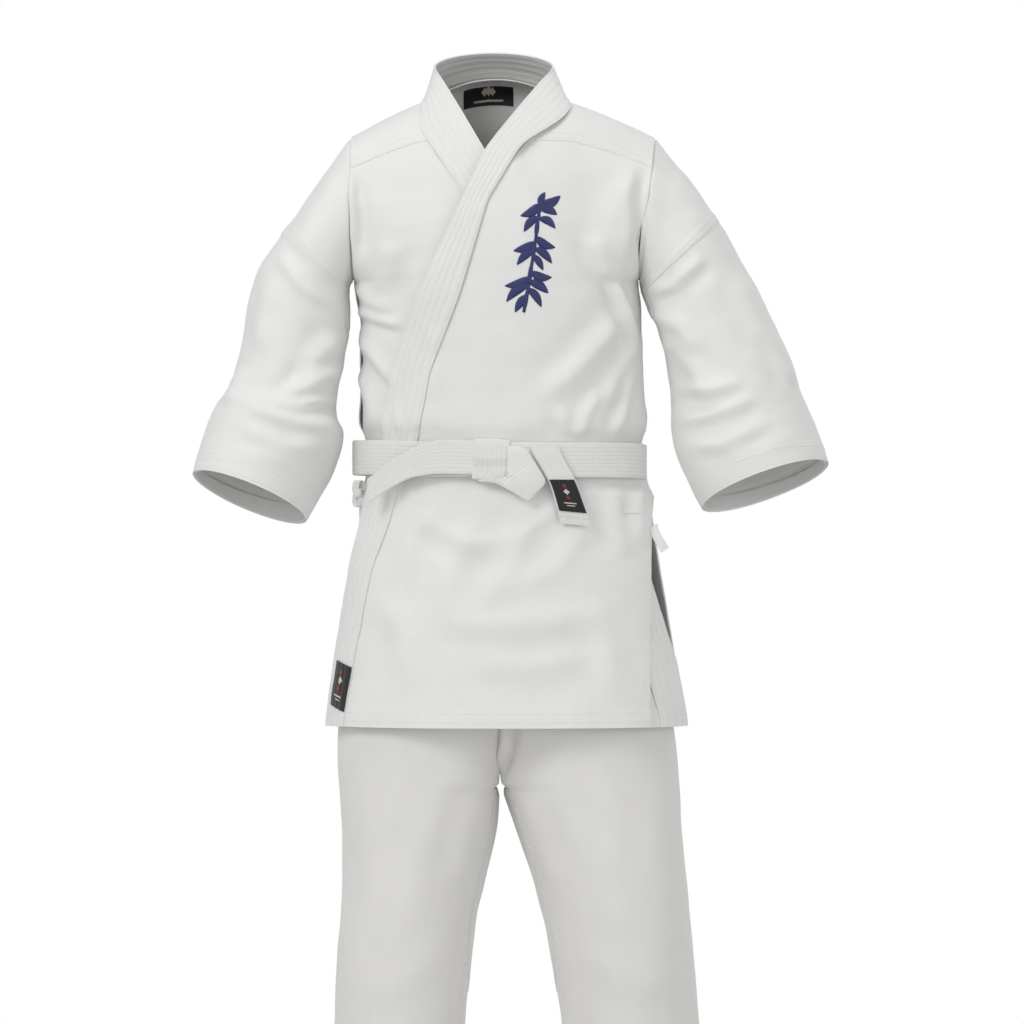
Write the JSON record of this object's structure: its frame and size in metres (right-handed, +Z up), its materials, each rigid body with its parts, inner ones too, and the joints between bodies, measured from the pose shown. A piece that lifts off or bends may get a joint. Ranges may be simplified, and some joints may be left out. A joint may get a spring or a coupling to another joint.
{
  "type": "martial arts uniform",
  "caption": "White crossed cotton jacket with wide sleeves, side vents and a knotted belt, worn over loose straight trousers.",
  "frame": {"origin": "on the centre line between the shoulders, at the height of the collar's base, between front and back", "axes": "+Z up, the front faces -Y, the wearer's left is +X"},
  "size_m": [0.7419, 0.2714, 1.4315],
  "materials": {
    "jacket_cotton": "matte",
    "trouser_cotton": "matte",
    "belt_cotton": "matte",
    "label_black": "matte",
    "thread_navy": "satin",
    "elastic_white": "matte"
  },
  "bodies": {
    "jacket": {"back_panel": "jacket_cotton", "back_yoke": "jacket_cotton", "front_right_panel": "jacket_cotton", "front_left_panel": "jacket_cotton", "front_yoke_right": "jacket_cotton", "front_yoke_left": "jacket_cotton", "collar_band": "jacket_cotton", "lapel_right": "jacket_cotton", "lapel_left": "jacket_cotton", "lapel_right_neck": "jacket_cotton", "lapel_left_neck": "jacket_cotton", "neck_label": "label_black", "chest_embroidery": "thread_navy", "belt_inner_wrap": "belt_cotton", "belt_outer_wrap": "belt_cotton", "belt_knot_band": "belt_cotton", "belt_knot_fold": "belt_cotton", "side_bow": "jacket_cotton"},
    "front_skirt": {"front_left_skirt": "jacket_cotton", "front_right_skirt": "jacket_cotton", "lapel_left_skirt": "jacket_cotton", "lapel_right_skirt": "jacket_cotton", "lapel_label": "label_black", "side_tie_end": "jacket_cotton"},
    "back_skirt": {"back_skirt": "jacket_cotton"},
    "tail_right": {"belt_tail_right": "belt_cotton"},
    "tail_left": {"belt_tail_left": "belt_cotton", "belt_label": "label_black"},
    "trousers": {"waistband": "trouser_cotton", "waist_elastic": "elastic_white", "hip_right": "trouser_cotton", "hip_left": "trouser_cotton", "thigh_right": "trouser_cotton", "thigh_left": "trouser_cotton", "inseam_gusset_right": "trouser_cotton", "inseam_gusset_left": "trouser_cotton", "inseam_strip_right": "trouser_cotton", "inseam_strip_left": "trouser_cotton"},
    "right_arm": {"drop_shoulder_right": "jacket_cotton", "underarm_gusset_right": "jacket_cotton", "upper_sleeve_right": "jacket_cotton", "sleeve_body_right": "jacket_cotton"},
    "right_forearm": {"forearm_sleeve_right": "jacket_cotton", "cuff_turnup_right": "jacket_cotton"},
    "right_shin": {"lower_leg_right": "trouser_cotton", "leg_turnup_right": "trouser_cotton"},
    "left_arm": {"drop_shoulder_left": "jacket_cotton", "underarm_gusset_left": "jacket_cotton", "upper_sleeve_left": "jacket_cotton", "sleeve_body_left": "jacket_cotton"},
    "left_forearm": {"forearm_sleeve_left": "jacket_cotton", "cuff_turnup_left": "jacket_cotton"},
    "left_shin": {"lower_leg_left": "trouser_cotton", "leg_turnup_left": "trouser_cotton"}
  },
  "joints": [
    {"name": "right_sleeve_raise", "type": "hinge", "parent": "jacket", "child": "right_arm", "pos_m": [-0.1775, 0, -0.0395], "axis": [0, 1, 0], "range_deg": [0, 45]},
    {"name": "left_sleeve_raise", "type": "hinge", "parent": "jacket", "child": "left_arm", "pos_m": [0.1775, 0, -0.0395], "axis": [0, -1, 0], "range_deg": [0, 45]},
    {"name": "right_elbow_bend", "type": "hinge", "parent": "right_arm", "child": "right_forearm", "pos_m": [-0.253, -0.089, -0.336], "axis": [-0.9682, 0, 0.2501], "range_deg": [0, 60]},
    {"name": "left_elbow_bend", "type": "hinge", "parent": "left_arm", "child": "left_forearm", "pos_m": [0.26, -0.089, -0.31], "axis": [-0.9607, 0, -0.2775], "range_deg": [0, 60]},
    {"name": "trousers_pull_down", "type": "slide", "parent": "jacket", "child": "trousers", "axis": [0, 0, 1], "range_m": [-0.35, 0]},
    {"name": "right_knee_bend", "type": "hinge", "parent": "trousers", "child": "right_shin", "pos_m": [-0.118, 0.099, -1.04], "axis": [1, 0, 0], "range_deg": [0, 60]},
    {"name": "left_knee_bend", "type": "hinge", "parent": "trousers", "child": "left_shin", "pos_m": [0.145, 0.099, -1.04], "axis": [1, 0, 0], "range_deg": [0, 60]},
    {"name": "front_skirt_lift", "type": "hinge", "parent": "jacket", "child": "front_skirt", "pos_m": [0, -0.121, -0.489], "axis": [-1, 0, 0], "range_deg": [0, 50]},
    {"name": "back_skirt_lift", "type": "hinge", "parent": "jacket", "child": "back_skirt", "pos_m": [0, 0.106, -0.489], "axis": [1, 0, 0], "range_deg": [0, 50]},
    {"name": "tail_right_swing", "type": "hinge", "parent": "jacket", "child": "tail_right", "pos_m": [-0.036, -0.1203, -0.412], "axis": [0, 0, 1], "range_deg": [0, 60]},
    {"name": "tail_left_swing", "type": "hinge", "parent": "jacket", "child": "tail_left", "pos_m": [0.045, -0.1205, -0.398], "axis": [-1, 0, 0], "range_deg": [0, 60]}
  ]
}
